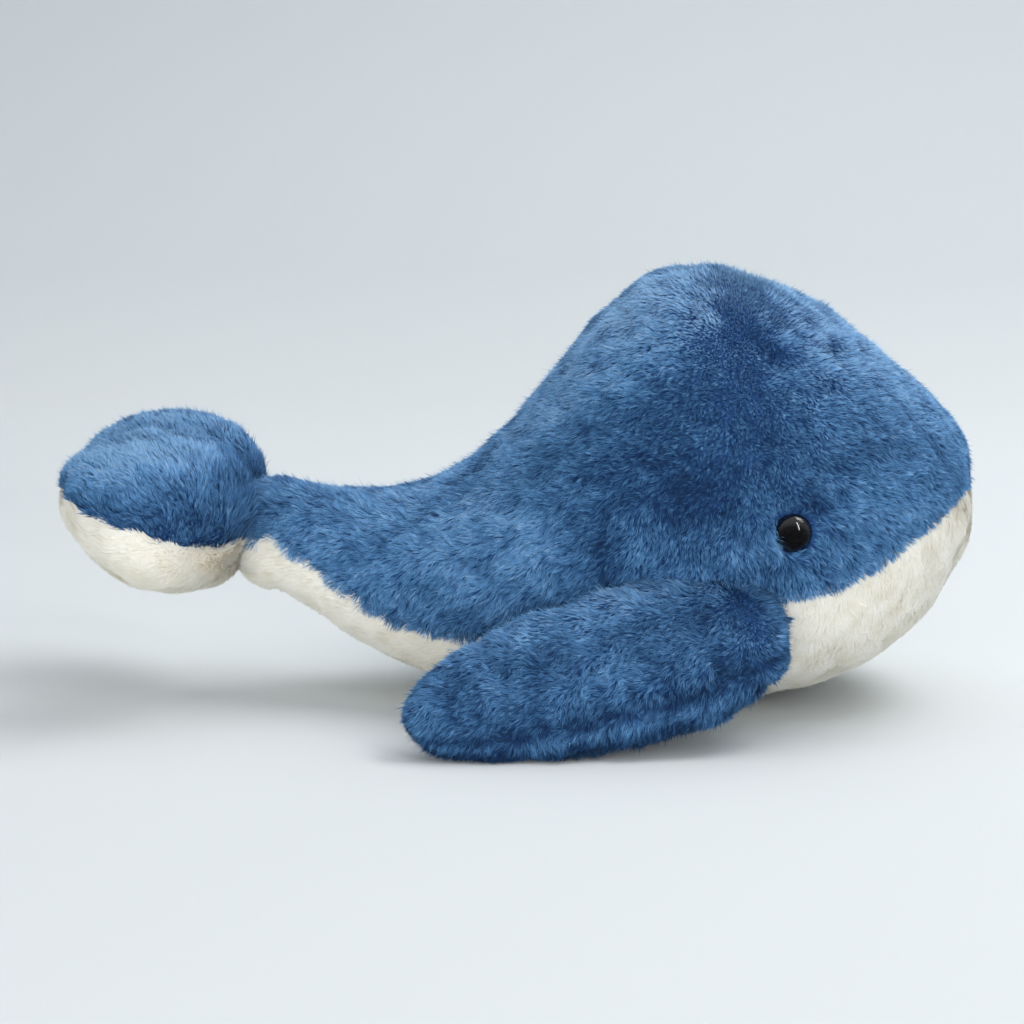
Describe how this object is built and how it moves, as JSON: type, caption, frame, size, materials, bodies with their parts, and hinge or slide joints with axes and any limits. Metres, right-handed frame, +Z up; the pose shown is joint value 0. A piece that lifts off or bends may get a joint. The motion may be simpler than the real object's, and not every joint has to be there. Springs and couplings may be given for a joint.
{
  "type": "plush whale",
  "caption": "Stuffed plush whale lying on its belly, with a domed head, a lobed fluke on a narrow rising tail, flippers swept back along the flanks and round domed eyes.",
  "frame": {"origin": "on the floor under the middle of the whole toy's box, halfway between the snout and the back edge of the fluke", "axes": "+X towards the snout, +Y to the whale's left, +Z up"},
  "size_m": [0.3421, 0.2296, 0.1622],
  "materials": {
    "blue_plush": "long soft pile, matt",
    "cream_plush": "long soft pile, matt",
    "fibrefill": "loose polyester wadding",
    "eye_black": "polished",
    "washer_clear": "natural moulding"
  },
  "bodies": {
    "body": {"back_panel_left": "blue_plush", "back_panel_right": "blue_plush", "belly_panel": "cream_plush", "body_stuffing": "fibrefill", "eye_left": "eye_black", "eye_right": "eye_black", "eye_washer_left": "washer_clear", "eye_washer_right": "washer_clear"},
    "flipper_right": {"flipper_right_outer_panel": "blue_plush", "flipper_right_inner_panel": "blue_plush", "flipper_right_stuffing": "fibrefill"},
    "flipper_left": {"flipper_left_outer_panel": "blue_plush", "flipper_left_inner_panel": "blue_plush", "flipper_left_stuffing": "fibrefill"},
    "fluke": {"fluke_left_upper_panel": "blue_plush", "fluke_left_lower_panel": "cream_plush", "fluke_left_stuffing": "fibrefill", "fluke_right_upper_panel": "blue_plush", "fluke_right_lower_panel": "cream_plush", "fluke_right_stuffing": "fibrefill"}
  },
  "joints": [
    {"name": "flipper_right_swing", "type": "hinge", "parent": "body", "child": "flipper_right", "pos_m": [0.08138, -0.07885, 0.03926], "axis": [-0.2961, 0.5942, 0.7478], "range_deg": [0, 55], "stiffness_Nm_per_rad": 0.02},
    {"name": "flipper_left_swing", "type": "hinge", "parent": "body", "child": "flipper_left", "pos_m": [0.08138, 0.07885, 0.03926], "axis": [0.2961, 0.5942, -0.7478], "range_deg": [0, 55], "stiffness_Nm_per_rad": 0.02},
    {"name": "fluke_bend", "type": "hinge", "parent": "body", "child": "fluke", "pos_m": [-0.0898, 0, 0.0615], "axis": [0, 1, 0], "range_deg": [-25, 25], "stiffness_Nm_per_rad": 0.25}
  ]
}
